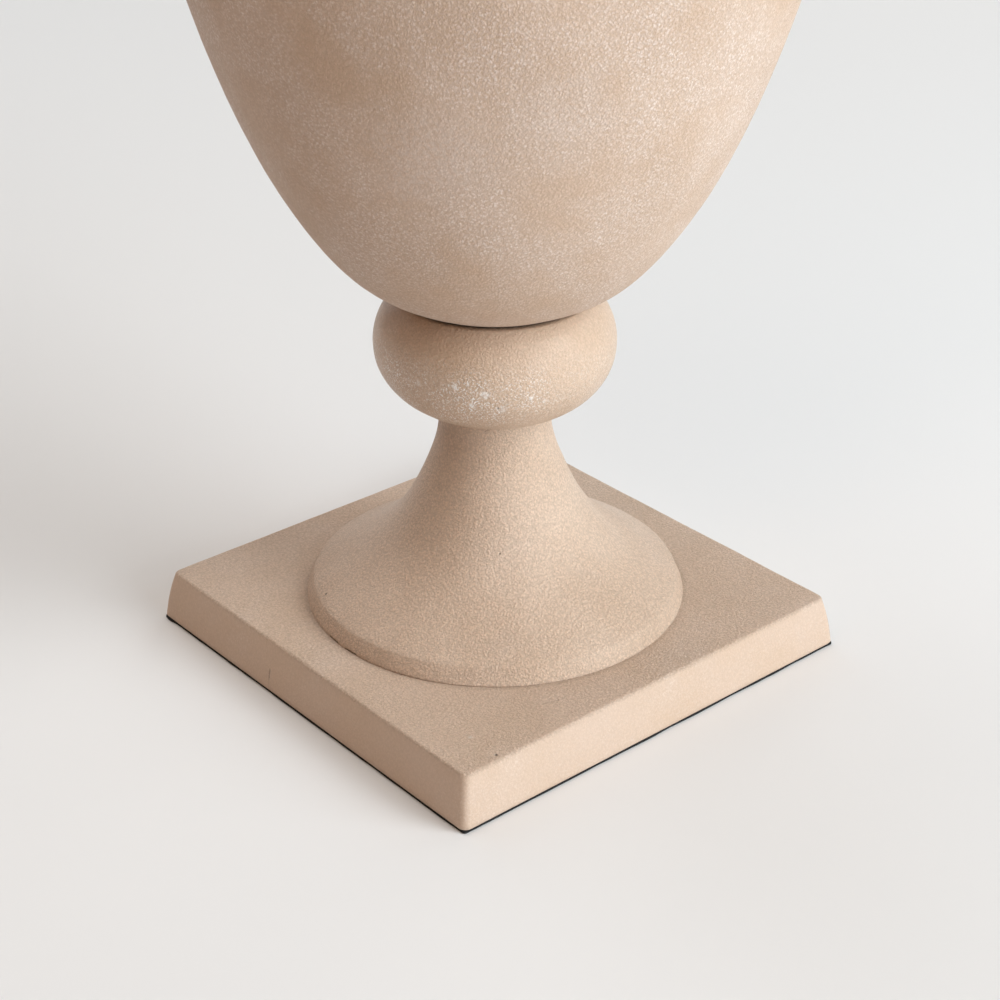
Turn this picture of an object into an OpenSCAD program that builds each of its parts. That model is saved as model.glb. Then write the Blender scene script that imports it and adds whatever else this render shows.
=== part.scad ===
// A footed amphora in cast and painted aluminium: a solid square plinth, a trumpet foot, a collar knob,
// an egg-shaped vessel, a flared neck and two handles. One threaded rod clamps plinth, foot, knob and
// vessel together; the neck seats in the vessel's mouth and the handles are pinned to both.
// Millimetres, +Z up, the origin at the centre of the pad's underside. Every casting is turned about Z,
// apart from the square plinth and the two handles, which stand along X.

/* [Base] */
// Side of the plinth at its lower edge
plinth_side = 160; // [140:1:180]
// Side of the plinth at its upper edge
plinth_top_side = 154; // [136:1:158]
// Height of the plinth
plinth_h = 17.2; // [16:0.1:24]
// Plan radius of the plinth's four corners
plinth_corner_r = 2.5; // [2:0.5:8]
// Thickness of the soft pad under the plinth
pad_t = 1; // [0.6:0.1:2]
// How far the pad stays back from the plinth's lower edge
pad_inset = 1.2; // [0.5:0.1:4]

/* [Foot] */
// Radius of the foot where it meets the plinth
foot_r = 62.5; // [55:0.5:68]
// Radius of the foot's sharp edge, above its band
foot_edge_r = 60; // [52:0.5:62]
// Height of the band
foot_band_h = 5.6; // [3:0.1:8]
// Radius of the stem under the knob
stem_r = 17.9; // [15:0.1:20]
// Height of the foot, band and stem together
foot_h = 67.4; // [60:0.1:80]

/* [Knob] */
// Largest radius of the knob
knob_r = 38.2; // [32:0.1:42]
// Half the height that the knob's rounded section would have if it were not cut flat
knob_half_h = 23; // [20:0.1:26]
// Squareness of the knob's rounded section, where 2 is an ellipse
knob_power = 2.1; // [2:0.05:2.4]
// Height between the knob's two flat faces
knob_h = 37.9; // [34:0.1:40]

/* [Vessel] */
// Radius of the vessel's seat on the knob
seat_r = 28; // [24:0.5:30]
// Largest radius of the vessel
belly_r = 101.3; // [96:0.1:108]
// Height of the belly above the seat
belly_h = 179.2; // [170:0.1:190]
// Height of the vessel, seat to mouth
vessel_h = 248; // [244:1:256]
// Thickness of the cast walls
wall_t = 4; // [3:0.5:5]

/* [Neck] */
// Height of the neck above the vessel's mouth
neck_h = 73.5; // [70:0.5:80]
// Smallest radius of the neck
neck_waist_r = 31; // [29:0.5:34]
// Radius of the rolled lip's centre line
lip_ring_r = 44; // [42:0.5:48]
// Radius of the rolled lip's section
lip_r = 5; // [4:0.5:6]

/* [Handles] */
// Thickness of a handle at its middle, seen from the side
handle_t = 10; // [8:0.5:12]
// Width of a handle at its middle, seen from its edge
handle_w = 17; // [13:0.5:20]
// How much thicker and wider a handle is at its two ends
handle_flare = 1.35; // [1:0.05:1.5]
// Farthest reach of the handle's curve from the axis, as its outer control radius
handle_reach = 90; // [84:1:96]

/* [Fasteners] */
// Thread size of the tie rod
rod_d = 8; // [8]
// Diameter of the clearance holes for the rod
rod_hole_d = 9; // [8.5:0.1:10]
// Width across flats of the nuts
nut_flats = 13; // [13]
// Height of the nuts
nut_h = 6.5; // [6.5]
// Diameter of the plain washers
washer_d = 24; // [20:1:26]
// Thickness of the plain washers
washer_t = 1.6; // [1.2:0.1:2]
// Diameter of the handle pins
pin_d = 5; // [4:0.5:6]
// Length of the handle pins
pin_len = 18; // [16:0.5:20]

/* [Hidden] */

// Heights of the stacked parts
plinth_z = pad_t;
foot_z = plinth_z + plinth_h;
knob_z = foot_z + foot_h;
seat_z = knob_z + knob_h;
mouth_z = seat_z + vessel_h;
lip_z = mouth_z + neck_h - lip_r;

// Registers that centre each casting on the one below
fit_gap = 0.1;
end_gap = 0.5;
plinth_ring_r = 19;
plinth_ring_h = 3;
knob_spigot_r = 11;
knob_spigot_h = 4.5;
seat_spigot_r = 12;
seat_spigot_h = 5.5;
neck_spigot_h = 7;
neck_spigot_r = 36;
neck_bore_r = 31.8;

// The cored hollow of the foot, and the pocket that hides the lower nut
foot_core_top_r = 11.5;
foot_core_top_z = foot_z + 52;
pocket_d = 30;
pocket_h = 12;

// Fastener stacks
lock_washer_t = 2;
lock_washer_d = 14.8;
lock_washer_slit = 1;
seal_t = 2;
seal_d = 28;
floor_t = 10.5;
floor_z = seat_z + floor_t;
pocket_z = plinth_z + pocket_h;
lower_nut_z = pocket_z - washer_t - lock_washer_t - nut_h;
upper_nut_z = floor_z + seal_t + washer_t;
rod_end = 1;
rod_low_z = lower_nut_z - rod_end;
rod_high_z = upper_nut_z + nut_h + 4 * rod_end;
// How far each handle pin starts behind the end of the handle's line, so that it ends just inside the wall
upper_pin_back = 2.5;
lower_pin_back = -1.5;
// Room between the handles and the castings that they are fitted to
handle_gap = 0.05;

// Steps along each curve, and around each handle
curve_steps = 28;
knob_steps = 44;
handle_steps = 26;
handle_sides = 20;
turn_sides = 96;

// A cubic curve through two end points, pulled by two middle ones
function curve(p, n) = [for (i = [0:n]) let (t = i / n, s = 1 - t)
    s * s * s * p[0] + 3 * s * s * t * p[1] + 3 * s * t * t * p[2] + t * t * t * p[3]];
function unit(v) = v / norm(v);
function turned(v) = [for (i = [len(v) - 1:-1:0]) v[i]];
function from_second(v) = [for (i = [1:len(v) - 1]) v[i]];
function arc(c, r, a0, a1, n) = [for (i = [0:n]) let (a = a0 + (a1 - a0) * i / n)
    c + r * [cos(a), sin(a)]];
// The line a wall's thickness inside a profile that is listed upwards
function lined(v, t) = [for (i = [0:len(v) - 1])
    let (d = unit(v[min(i + 1, len(v) - 1)] - v[max(i - 1, 0)])) v[i] + t * [-d[1], d[0]]];

// The foot's concave sweep, from its edge up to the stem
foot_waist = [24, foot_z + 42];
foot_edge = [foot_edge_r, foot_z + foot_band_h];
foot_sweep = concat(
    curve([foot_edge, foot_edge + [-18, 11.4], foot_waist + [9, -20.6], foot_waist], curve_steps),
    from_second(curve([foot_waist, foot_waist + [-6.8, 15.4], [stem_r, knob_z - 6.5], [stem_r, knob_z]],
                      curve_steps)));

// The knob's section is a superellipse, cut flat below and above
knob_mid_z = knob_z + 22;
knob_core_r = 8.4;
knob_reach = knob_r - knob_core_r;
function knob_r_at(z) = knob_core_r
    + knob_reach * pow(1 - pow(abs(z - knob_mid_z) / knob_half_h, knob_power), 1 / knob_power);
knob_outline = [for (i = [0:knob_steps]) let (z = knob_z + knob_h * (1 - cos(180 * i / knob_steps)) / 2)
    [knob_r_at(z), z]];

// The vessel's profile: a shallow bowl, a long flank up to the belly, and the shoulder
bowl_end = [64, seat_z + 35.3];
belly = [belly_r, seat_z + belly_h];
mouth_r = 44;
flank = concat(
    curve([[seat_r, seat_z], [38.2, seat_z + 5.1], bowl_end - [17.1, 28.5], bowl_end], curve_steps),
    from_second(curve([bowl_end, bowl_end + [18.7, 31.1], belly - [0, 46.9], belly], curve_steps)));
shoulder = curve([belly, belly + [0, 36], [80, mouth_z - 10], [mouth_r, mouth_z]], curve_steps);
vessel_outline = concat(flank, from_second(shoulder));

// The neck's profile: a bead at its root, a waist and a flare into the rolled lip
bead_r = 3.6;
bead = [mouth_r - 1.2, mouth_z + bead_r];
waist = [neck_waist_r, mouth_z + 31];
lip = [lip_ring_r, lip_z];
lip_low = lip + lip_r * [cos(-120), sin(-120)];
neck_root = bead + bead_r * [cos(100), sin(100)];
neck_low = curve([neck_root, neck_root + [-8, 2.6], waist - [0, 12], waist], curve_steps);
neck_high = curve([waist, waist + [0, 14], lip_low - [5.6, 9.2], lip_low], curve_steps);
neck_outline = concat([[mouth_r, mouth_z]], arc(bead, bead_r, -60, 100, 10),
                      from_second(neck_low), from_second(neck_high), arc(lip, lip_r, -116, 180, 26));

// A handle's centre line: out of the neck under the lip, over, and down on to the shoulder
handle_top = [30, mouth_z + 47];
handle_top_rise = 22;
handle_foot = [81, mouth_z - 26];
handle_elbow = [handle_reach, mouth_z + 42];
handle_foot_lean = atan2(handle_elbow[0] - handle_foot[0], handle_elbow[1] - handle_foot[1]);
handle_line = curve([handle_top, handle_top + 35 * [cos(handle_top_rise), sin(handle_top_rise)],
                     handle_elbow, handle_foot], handle_steps);
function swell(i) = 1 + (handle_flare - 1) * pow(abs(2 * i / handle_steps - 1), 4);

// A solid turned from its outline, closed along the axis
module turned_solid(outline) {
    rotate_extrude($fn = turn_sides)
        polygon(concat([[0, outline[0][1]]], outline, [[0, outline[len(outline) - 1][1]]]));
}

module ring(outer_r, inner_r, z, h) {
    translate([0, 0, z]) difference() {
        cylinder(r = outer_r, h = h, $fn = turn_sides);
        translate([0, 0, -1]) cylinder(r = inner_r, h = h + 2, $fn = turn_sides);
    }
}

module rounded_slab(side, r, z, h) {
    half = side / 2 - r;
    translate([0, 0, z]) linear_extrude(h)
        for (turn = [0, 90]) rotate(turn) union() {
            square([side, 2 * half], center = true);
            for (x = [-half, half], y = [-half, half]) translate([x, y]) circle(r, $fn = 32);
        }
}

module hex_nut(z) {
    translate([0, 0, z]) difference() {
        cylinder(d = nut_flats / cos(30), h = nut_h, $fn = 6);
        translate([0, 0, -1]) cylinder(d = rod_d, h = nut_h + 2, $fn = turn_sides);
    }
}

// A handle's two pins, each running from just inside the wall into the handle
module pins(d) {
    translate([handle_top[0], 0, handle_top[1]]) rotate([0, 90 - handle_top_rise, 0])
        translate([0, 0, -upper_pin_back]) cylinder(d = d, h = pin_len, $fn = turn_sides);
    translate([handle_foot[0], 0, handle_foot[1]]) rotate([0, handle_foot_lean, 0])
        translate([0, 0, -lower_pin_back]) cylinder(d = d, h = pin_len, $fn = turn_sides);
}

// Both handles' pins, or the holes that are drilled for them
module all_pins(d) {
    for (side = [0, 180]) rotate([0, 0, side]) pins(d);
}

// The strap of one handle, swept along its line with an oval section that swells at both ends
module strap() {
    n = handle_sides;
    last = len(handle_line) - 1;
    points = [for (i = [0:last])
        let (d = unit(handle_line[min(i + 1, last)] - handle_line[max(i - 1, 0)]), k = swell(i) / 2)
        for (j = [0:n - 1])
            let (a = 360 * j / n, u = k * handle_t * cos(a), v = k * handle_w * sin(a))
            [handle_line[i][0] - u * d[1], v, handle_line[i][1] + u * d[0]]];
    sides = [for (i = [0:last - 1], j = [0:n - 1]) let (a = i * n + j, b = i * n + (j + 1) % n)
        each [[a, a + n, b], [b, a + n, b + n]]];
    ends = [[for (j = [0:n - 1]) j], [for (j = [n - 1:-1:0]) last * n + j]];
    polyhedron(points, concat(sides, ends), convexity = 6);
}

module handle() {
    difference() {
        strap();
        turned_solid([for (p = vessel_outline) p + [handle_gap, 0]]);
        turned_solid([for (p = neck_outline) p + [handle_gap, 0]]);
        all_pins(pin_d + fit_gap);
    }
}

module base_pad() {
    color("#1d1c1b") rounded_slab(plinth_side - 2 * pad_inset, plinth_corner_r - 1, 0, pad_t);
}

module plinth() {
    edge_r = 1.6;
    draft = (plinth_side - plinth_top_side) / 2;
    color("#dcc1a6") difference() {
        union() {
            hull() {
                rounded_slab(plinth_side - 0.8, plinth_corner_r, plinth_z, 0.2);
                rounded_slab(plinth_side, plinth_corner_r, plinth_z + 0.6, 0.2);
                rounded_slab(plinth_side - 0.7 * draft, plinth_corner_r, plinth_z + plinth_h / 2, 0.2);
                rounded_slab(plinth_top_side + 0.6, plinth_corner_r, foot_z - edge_r, 0.2);
                rounded_slab(plinth_top_side - 0.6, plinth_corner_r, foot_z - 0.6, 0.2);
                rounded_slab(plinth_top_side - 2 * edge_r, plinth_corner_r, foot_z - 0.2, 0.2);
            }
            ring(plinth_ring_r, rod_hole_d / 2, foot_z - 1, plinth_ring_h + 1);
        }
        translate([0, 0, plinth_z - 1]) cylinder(d = pocket_d, h = pocket_h + 1, $fn = turn_sides);
        cylinder(d = rod_hole_d, h = foot_z + 2 * plinth_ring_h, $fn = turn_sides);
    }
}

module foot() {
    recess_r = knob_spigot_r + fit_gap;
    recess_z = knob_z - knob_spigot_h - end_gap;
    core_r = plinth_ring_r + fit_gap;
    hole_r = rod_hole_d / 2;
    color("#d8bca0") rotate_extrude($fn = turn_sides) polygon(concat(
        [[core_r, foot_z], [foot_r, foot_z]],
        foot_sweep,
        [[recess_r, knob_z], [recess_r, recess_z], [hole_r, recess_z], [hole_r, foot_core_top_z],
         [foot_core_top_r, foot_core_top_z], [core_r, foot_z + 3 * plinth_ring_h]]));
}

module knob() {
    recess_r = seat_spigot_r + fit_gap;
    recess_z = seat_z - seat_spigot_h - end_gap;
    hole_r = rod_hole_d / 2;
    color("#d9bb9c") rotate_extrude($fn = turn_sides) polygon(concat(
        [[hole_r, knob_z - knob_spigot_h], [knob_spigot_r, knob_z - knob_spigot_h], [knob_spigot_r, knob_z]],
        knob_outline,
        [[recess_r, seat_z], [recess_r, recess_z], [hole_r, recess_z]]));
}

module body() {
    hole_r = rod_hole_d / 2;
    spigot_z = seat_z - seat_spigot_h;
    socket_r = neck_spigot_r + fit_gap;
    cavity = [for (p = lined(vessel_outline, wall_t)) if (p[1] > floor_z && p[0] > socket_r) p];
    color("#d6b99f") difference() {
        rotate_extrude($fn = turn_sides) polygon(concat(
            [[hole_r, spigot_z], [seat_spigot_r, spigot_z], [seat_spigot_r, seat_z]],
            vessel_outline,
            [[socket_r, mouth_z], [socket_r, cavity[len(cavity) - 1][1]]],
            turned(cavity),
            [[cavity[0][0] - 2, floor_z], [hole_r, floor_z]]));
        all_pins(pin_d + fit_gap);
    }
}

module neck() {
    spigot_z = mouth_z - neck_spigot_h;
    low_bore = [for (p = lined(neck_low, wall_t)) if (p[0] < neck_bore_r) p];
    high_bore = [for (p = lined(neck_high, wall_t)) if (p[0] < lip_ring_r - lip_r) p];
    color("#d8bb9f") difference() {
        rotate_extrude($fn = turn_sides) polygon(concat(
            [[neck_bore_r, spigot_z], [neck_spigot_r, spigot_z], [neck_spigot_r, mouth_z]],
            neck_outline,
            turned(high_bore),
            turned(low_bore),
            [[neck_bore_r, low_bore[0][1]]]));
        all_pins(pin_d + fit_gap);
    }
}

module handle_left() {
    color("#d9bda1") rotate([0, 0, 180]) handle();
}

module handle_right() {
    color("#d9bda1") handle();
}

module handle_pins() {
    color("silver") all_pins(pin_d);
}

module tie_rod() {
    tip = 0.8;
    color("silver") rotate_extrude($fn = turn_sides) polygon([
        [0, rod_low_z], [rod_d / 2 - tip, rod_low_z], [rod_d / 2, rod_low_z + tip],
        [rod_d / 2, rod_high_z - tip], [rod_d / 2 - tip, rod_high_z], [0, rod_high_z]]);
}

module plinth_washer() {
    color("silver") ring(washer_d / 2, rod_d / 2 + 0.2, pocket_z - washer_t, washer_t);
}

module plinth_lock_washer() {
    z = pocket_z - washer_t - lock_washer_t;
    color("silver") difference() {
        ring(lock_washer_d / 2, rod_d / 2 + 0.1, z, lock_washer_t);
        translate([0, -lock_washer_slit / 2, z - 1])
            cube([lock_washer_d, lock_washer_slit, lock_washer_t + 2]);
    }
}

module plinth_nut() {
    color("silver") hex_nut(lower_nut_z);
}

module body_seal() {
    color("#22201f") ring(seal_d / 2, rod_d / 2 + 0.1, floor_z, seal_t);
}

module body_washer() {
    color("silver") ring(washer_d / 2, rod_d / 2 + 0.2, floor_z + seal_t, washer_t);
}

module body_nut() {
    color("silver") hex_nut(upper_nut_z);
}

base_pad();
plinth();
foot();
knob();
body();
neck();
handle_left();
handle_right();
handle_pins();
tie_rod();
plinth_washer();
plinth_lock_washer();
plinth_nut();
body_seal();
body_washer();
body_nut();
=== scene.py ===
"""The looks of a footed amphora in cast, sand-coated and limewashed aluminium.

Every length is in metres in the part's own frame: +Z up along the vessel's axis, the origin under the pad,
+X towards the right handle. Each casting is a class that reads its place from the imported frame, builds its
mesh from an outline, and dresses it with a finish.
"""

import logging
import math
from collections.abc import Sequence
from dataclasses import dataclass, field

import bpy
import numpy as np
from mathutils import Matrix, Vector, noise


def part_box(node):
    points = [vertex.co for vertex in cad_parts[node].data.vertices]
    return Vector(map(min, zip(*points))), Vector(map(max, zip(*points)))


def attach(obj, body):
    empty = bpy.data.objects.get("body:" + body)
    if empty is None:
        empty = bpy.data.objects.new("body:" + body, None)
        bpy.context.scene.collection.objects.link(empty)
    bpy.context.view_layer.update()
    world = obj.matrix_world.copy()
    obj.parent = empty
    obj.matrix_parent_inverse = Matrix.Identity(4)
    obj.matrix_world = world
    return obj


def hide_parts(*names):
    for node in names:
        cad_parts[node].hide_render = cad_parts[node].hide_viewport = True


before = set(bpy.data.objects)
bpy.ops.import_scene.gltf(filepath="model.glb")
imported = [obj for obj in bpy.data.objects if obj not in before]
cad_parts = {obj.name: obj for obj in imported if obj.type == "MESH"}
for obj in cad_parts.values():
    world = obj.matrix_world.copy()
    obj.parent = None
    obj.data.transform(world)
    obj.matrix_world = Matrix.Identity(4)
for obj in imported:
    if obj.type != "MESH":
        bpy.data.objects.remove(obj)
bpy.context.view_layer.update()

logging.basicConfig(level=logging.INFO, format="%(name)s: %(message)s")
log = logging.getLogger("amphora")

MM = 0.001
ROOT = "root"
Point = tuple[float, float]
Colour = tuple[float, float, float]


# ---------------------------------------------------------------------------------------------------------
# Outlines and meshes
# ---------------------------------------------------------------------------------------------------------


class Outline:
    """A closed line in the (radius, height) plane, drawn piece by piece and then softened like a casting."""

    def __init__(self, start: Point) -> None:
        """Starts the line.

        Args:
            start: The first (radius, height) point, in metres.
        """
        self.points: list[np.ndarray] = [np.array(start, float)]

    def line(self, *stops: Point | np.ndarray) -> "Outline":
        """Adds straight stretches through the given points.

        Args:
            stops: The (radius, height) points in order.

        Returns:
            The outline itself, so that calls chain.
        """
        self.points += [np.array(stop, float) for stop in stops]
        return self

    def curve(self, pull_a: Point, pull_b: Point, end: Point, steps: int = 60) -> "Outline":
        """Adds a cubic curve from the last point.

        Args:
            pull_a: The control point next to the start.
            pull_b: The control point next to the end.
            end: Where the curve ends.
            steps: How many short stretches stand for it.

        Returns:
            The outline itself.
        """
        a, b, c, d = (np.array(p, float) for p in (self.points[-1], pull_a, pull_b, end))
        for t in np.linspace(0, 1, steps + 1)[1:]:
            s = 1 - t
            self.points.append(s**3 * a + 3 * s * s * t * b + 3 * s * t * t * c + t**3 * d)
        return self

    def arc(self, centre: Point, radius: float, start_deg: float, end_deg: float, steps: int = 36
            ) -> "Outline":
        """Adds an arc.

        Args:
            centre: The arc's centre.
            radius: Its radius.
            start_deg: Where it starts, in degrees from the outward direction, anticlockwise.
            end_deg: Where it ends.
            steps: How many short stretches stand for it.

        Returns:
            The outline itself.
        """
        for angle in np.radians(np.linspace(start_deg, end_deg, steps + 1)):
            self.points.append(np.array(centre) + radius * np.array([math.cos(angle), math.sin(angle)]))
        return self

    def softened(self, edge: float, longest: float, sharpest_deg: float = 7.0) -> np.ndarray:
        """The closed line with its corners rounded, thinned out where it runs straight.

        Args:
            edge: About how wide a corner's rounding is.
            longest: The longest stretch that is kept.
            sharpest_deg: The most that the line may turn between two kept points.

        Returns:
            An array of (radius, height) rows.
        """
        fine = evenly(np.array(self.points), edge / 3)
        for _ in range(4):
            fine = (np.roll(fine, 1, 0) + 2 * fine + np.roll(fine, -1, 0)) / 4
        return thinned(fine, longest, sharpest_deg)


def on_circle(centre: Point, radius: float, angle_deg: float) -> Point:
    """The point on a circle in a direction given in degrees."""
    angle = math.radians(angle_deg)
    return (centre[0] + radius * math.cos(angle), centre[1] + radius * math.sin(angle))


def evenly(points: np.ndarray, step: float) -> np.ndarray:
    """A closed line's points, spread evenly along it.

    Args:
        points: The line's corners, without the first one repeated.
        step: About how far apart the new points are.

    Returns:
        The new points.
    """
    loop = np.vstack([points, points[:1]])
    run = np.concatenate([[0], np.cumsum(np.linalg.norm(np.diff(loop, axis=0), axis=1))])
    at = np.linspace(0, run[-1], max(8, int(run[-1] / step)) + 1)[:-1]
    return np.stack([np.interp(at, run, loop[:, axis]) for axis in range(loop.shape[1])], 1)


def thinned(points: np.ndarray, longest: float, sharpest_deg: float) -> np.ndarray:
    """The points of a fine line that are needed to keep its shape.

    Args:
        points: The fine line.
        longest: The longest stretch that is kept.
        sharpest_deg: The most that the line may turn between two kept points.

    Returns:
        The kept points.
    """
    ahead = np.roll(points, -1, 0) - points
    heading = np.unwrap(np.arctan2(ahead[:, 1], ahead[:, 0]))
    kept = [0]
    for i in range(1, len(points)):
        far = np.linalg.norm(points[i] - points[kept[-1]]) >= longest
        bent = abs(heading[i] - heading[kept[-1]]) >= math.radians(sharpest_deg)
        if far or bent:
            kept.append(i)
    return points[kept]


def lathed(points: np.ndarray, turns: int) -> tuple[np.ndarray, np.ndarray]:
    """The surface of a closed outline turned about Z.

    Args:
        points: (radius, height) rows, with the solid on their left-hand side.
        turns: How many steps it takes round the axis.

    Returns:
        The vertices, ring by ring, and the four corners of each face.
    """
    angles = np.linspace(0, 2 * math.pi, turns, endpoint=False)
    vertices = level_ring(points[:, 0][:, None], angles, points[:, 1][:, None]).reshape(-1, 3)
    return vertices, woven(len(points), turns, closed=True)


def level_ring(radius: np.ndarray | float, turns: np.ndarray, height: np.ndarray | float) -> np.ndarray:
    """The points at a radius and a height in each of the directions in turns."""
    return np.stack([radius * np.cos(turns), radius * np.sin(turns), height + 0 * turns], -1)


def woven(rings: int, around: int, closed: bool) -> np.ndarray:
    """The faces between rings of points.

    Args:
        rings: How many rings there are.
        around: How many points each ring has.
        closed: Whether the last ring joins the first one.

    Returns:
        The four corners of each face.
    """
    row = np.arange(rings if closed else rings - 1)[:, None]
    col = np.arange(around)[None, :]
    up, on = (row + 1) % rings, (col + 1) % around
    corners = [row * around + col, row * around + on, up * around + on, up * around + col]
    return np.stack([np.broadcast_to(c, (len(row), around)) for c in corners], -1).reshape(-1, 4)


def capped(rings: int, around: int, flipped: bool = False, base: int = 0) -> list[tuple[int, ...]]:
    """The faces of a tube of rings that is closed at both ends.

    Args:
        rings: How many rings there are.
        around: How many points each ring has.
        flipped: Whether the faces look the other way.
        base: The number of the first ring's first point.

    Returns:
        The corners of each face, with the two ends last.
    """
    last = base + (rings - 1) * around
    faces = [tuple(face) for face in woven(rings, around, closed=False) + base]
    faces += [tuple(range(base, base + around))[::-1], tuple(range(last, last + around))]
    return [face[::-1] for face in faces] if flipped else faces


def headings(line: np.ndarray) -> np.ndarray:
    """The direction in which a line runs at each of its points."""
    along = np.gradient(line, axis=0)
    return along / np.linalg.norm(along, axis=1, keepdims=True)


def inside(profile: np.ndarray, wall: float) -> np.ndarray:
    """The points one wall's thickness inside an outer profile that is drawn upwards."""
    along = headings(profile)
    return profile + wall * np.stack([-along[:, 1], along[:, 0]], 1)


def skin_normals(vertices: np.ndarray, faces: np.ndarray) -> np.ndarray:
    """The direction in which each vertex faces.

    Args:
        vertices: The vertices.
        faces: The four corners of each face.

    Returns:
        One unit vector for each vertex.
    """
    a, b, c, d = (vertices[faces[:, i]] for i in range(4))
    face = np.cross(c - a, d - b)
    total = np.zeros_like(vertices)
    for i in range(4):
        np.add.at(total, faces[:, i], face)
    return total / np.maximum(np.linalg.norm(total, axis=1, keepdims=True), 1e-12)


@dataclass(frozen=True)
class CastSkin:
    """The unevenness that a sand mould leaves in a casting's surface.

    Attributes:
        swell: How far the broad swells stand out or sink in.
        swell_span: How far apart the broad swells are.
        ripple: The same for the smaller ripples.
        ripple_span: How far apart the ripples are.
        seed: Makes one casting's skin differ from the next one's.
    """

    swell: float = 0.22 * MM
    swell_span: float = 34 * MM
    ripple: float = 0.05 * MM
    ripple_span: float = 5.5 * MM
    seed: float = 0.0

    def height(self, place: Vector) -> float:
        """How far the skin stands out at one place.

        Args:
            place: The point on the surface.

        Returns:
            The height, which may be below zero.
        """
        shift = Vector((self.seed, 2.3 * self.seed, -1.7 * self.seed))
        broad = noise.noise(place / self.swell_span + shift)
        small = noise.noise(place / self.ripple_span - shift)
        return self.swell * broad + self.ripple * small

    def pressed(self, vertices: np.ndarray, faces: np.ndarray, free: np.ndarray) -> np.ndarray:
        """The vertices moved along their normals by the skin's height.

        Args:
            vertices: The vertices.
            faces: The four corners of each face.
            free: How freely each vertex moves, from 0 on a machined seat to 1.

        Returns:
            The moved vertices.
        """
        heights = np.array([self.height(Vector(v)) for v in vertices])
        return vertices + skin_normals(vertices, faces) * (heights * free)[:, None]


def mesh_piece(name: str, vertices: np.ndarray, faces: Sequence[Sequence[int]], smooth: bool = True
               ) -> bpy.types.Object:
    """Makes a mesh object in the part's frame.

    Args:
        name: The piece's name.
        vertices: Its vertices.
        faces: The corners of each face.
        smooth: Whether its faces shade as one curved surface.

    Returns:
        The new object.
    """
    mesh = bpy.data.meshes.new(name)
    mesh.from_pydata([tuple(v) for v in vertices], [], [tuple(f) for f in faces])
    mesh.validate()
    mesh.polygons.foreach_set("use_smooth", [smooth] * len(mesh.polygons))
    mesh.update()
    piece = bpy.data.objects.new(name, mesh)
    bpy.context.scene.collection.objects.link(piece)
    return piece


def settle(piece: bpy.types.Object, node: str, finish: bpy.types.Material) -> bpy.types.Object:
    """Dresses a piece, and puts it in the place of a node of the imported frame.

    Args:
        piece: The piece.
        node: The node that it stands for.
        finish: The piece's material.

    Returns:
        The piece.
    """
    piece.data.materials.append(finish)
    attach(piece, ROOT)
    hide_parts(node)
    log.info("%s: %d faces, %s", piece.name, len(piece.data.polygons), finish.name)
    return piece


def fade(value: np.ndarray | float, low: float, high: float) -> np.ndarray:
    """0 below low, 1 above high, and a smooth rise between them."""
    t = np.clip((np.asarray(value) - low) / (high - low), 0, 1)
    return t * t * (3 - 2 * t)


def turned_casting(name: str, section: np.ndarray, turns: int, skin: CastSkin, bottom: Point, top: Point
                   ) -> bpy.types.Object:
    """A turned casting, uneven all over except on the machined seats at its two ends.

    Args:
        name: The piece's name.
        section: The (radius, height) rows of its section.
        turns: How many steps it takes round the axis.
        skin: The casting's unevenness.
        bottom: The two heights between which the unevenness sets in above the lower seat.
        top: The two heights between which it dies away below the upper seat.

    Returns:
        The piece.
    """
    vertices, faces = lathed(section, turns)
    height = vertices[:, 2]
    free = fade(height, *bottom) * fade(-height, -top[1], -top[0])
    return mesh_piece(name, skin.pressed(vertices, faces, free), faces)


# ---------------------------------------------------------------------------------------------------------
# Finishes
# ---------------------------------------------------------------------------------------------------------


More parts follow.
